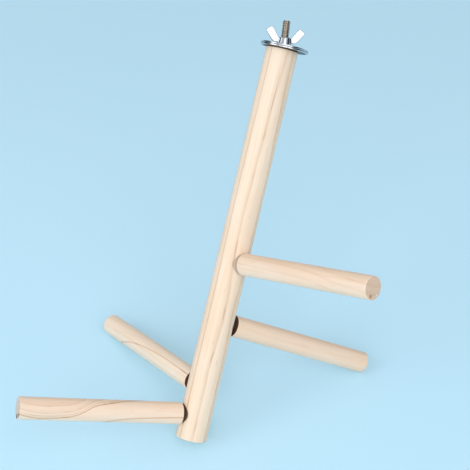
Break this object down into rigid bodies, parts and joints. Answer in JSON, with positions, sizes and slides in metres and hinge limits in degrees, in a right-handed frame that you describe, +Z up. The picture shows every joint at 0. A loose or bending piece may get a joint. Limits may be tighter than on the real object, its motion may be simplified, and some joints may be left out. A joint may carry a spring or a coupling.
{
  "type": "parrot play stand",
  "caption": "Wooden bird stand: a round pine post with round perches screwed on at different heights, and a washer and wing nut clamp at its upper end.",
  "frame": {"origin": "on the table, under the middle of the stand's box as it stands on its three feet", "axes": "+Z up from the table, +Y the way the post leans back, +X to the right of someone who faces the lean"},
  "size_m": [0.2586, 0.2858, 0.274],
  "materials": {
    "post_pine": "bare, sanded, straight pale grain",
    "perch_pine": "bare, sanded, curved grain",
    "zinc_plate": "bright zinc plate",
    "bolt_steel": "dull plated thread",
    "screw_steel": "plain wood screw"
  },
  "bodies": {
    "post": {"post": "post_pine", "hanger_bolt": "bolt_steel", "lower_washer": "zinc_plate"},
    "upper_perch_screw": {"upper_perch_screw": "screw_steel"},
    "upper_perch": {"upper_perch": "perch_pine"},
    "middle_perch_screw": {"middle_perch_screw": "screw_steel"},
    "middle_perch": {"middle_perch": "perch_pine"},
    "rear_perch_screw": {"rear_perch_screw": "screw_steel"},
    "rear_perch": {"rear_perch": "perch_pine"},
    "lower_perch_screw": {"lower_perch_screw": "screw_steel"},
    "lower_perch": {"lower_perch": "perch_pine"},
    "upper_washer": {"upper_washer": "zinc_plate"},
    "wing_nut": {"wing_nut": "zinc_plate"}
  },
  "joints": [
    {"name": "upper_perch_travel", "type": "slide", "parent": "post", "child": "upper_perch_screw", "axis": [0.9016, -0.2634, 0.343], "range_m": [0, 0.0125]},
    {"name": "upper_perch_turn", "type": "hinge", "parent": "upper_perch_screw", "child": "upper_perch", "pos_m": [0.01041, 0.02028, 0.12565], "axis": [0.9016, -0.2634, 0.343], "range_deg": [0, 1800]},
    {"name": "middle_perch_travel", "type": "slide", "parent": "post", "child": "middle_perch_screw", "axis": [0.6692, 0.5155, -0.5352], "range_m": [0, 0.0125]},
    {"name": "middle_perch_turn", "type": "hinge", "parent": "middle_perch_screw", "child": "middle_perch", "pos_m": [0.00723, 0.00185, 0.07544], "axis": [0.6692, 0.5155, -0.5352], "range_deg": [0, 1800]},
    {"name": "rear_perch_travel", "type": "slide", "parent": "post", "child": "rear_perch_screw", "axis": [-0.8733, 0.4301, -0.2291], "range_m": [0, 0.0125]},
    {"name": "rear_perch_turn", "type": "hinge", "parent": "rear_perch_screw", "child": "rear_perch", "pos_m": [-0.01361, -0.03158, 0.03756], "axis": [-0.8733, 0.4301, -0.2291], "range_deg": [0, 1800]},
    {"name": "lower_perch_travel", "type": "slide", "parent": "post", "child": "lower_perch_screw", "axis": [-0.7147, -0.6048, 0.3513], "range_m": [0, 0.0125]},
    {"name": "lower_perch_turn", "type": "hinge", "parent": "lower_perch_screw", "child": "lower_perch", "pos_m": [-0.01154, -0.05898, 0.02761], "axis": [-0.7147, -0.6048, 0.3513], "range_deg": [0, 1800]},
    {"name": "clamp_travel", "type": "slide", "parent": "post", "child": "upper_washer", "axis": [-0.1056, 0.5697, 0.815], "range_m": [0, 0.01143]},
    {"name": "wing_nut_turn", "type": "hinge", "parent": "upper_washer", "child": "wing_nut", "pos_m": [-0.00144, 0.12825, 0.25758], "axis": [-0.1056, 0.5697, 0.815], "range_deg": [0, 3240]}
  ],
  "couplings": [
    {"joint": "upper_perch_turn", "follows": "upper_perch_travel", "rad_per_m": 2513.3},
    {"joint": "middle_perch_turn", "follows": "middle_perch_travel", "rad_per_m": 2513.3},
    {"joint": "rear_perch_turn", "follows": "rear_perch_travel", "rad_per_m": 2513.3},
    {"joint": "lower_perch_turn", "follows": "lower_perch_travel", "rad_per_m": 2513.3},
    {"joint": "wing_nut_turn", "follows": "clamp_travel", "rad_per_m": 4947.4}
  ]
}
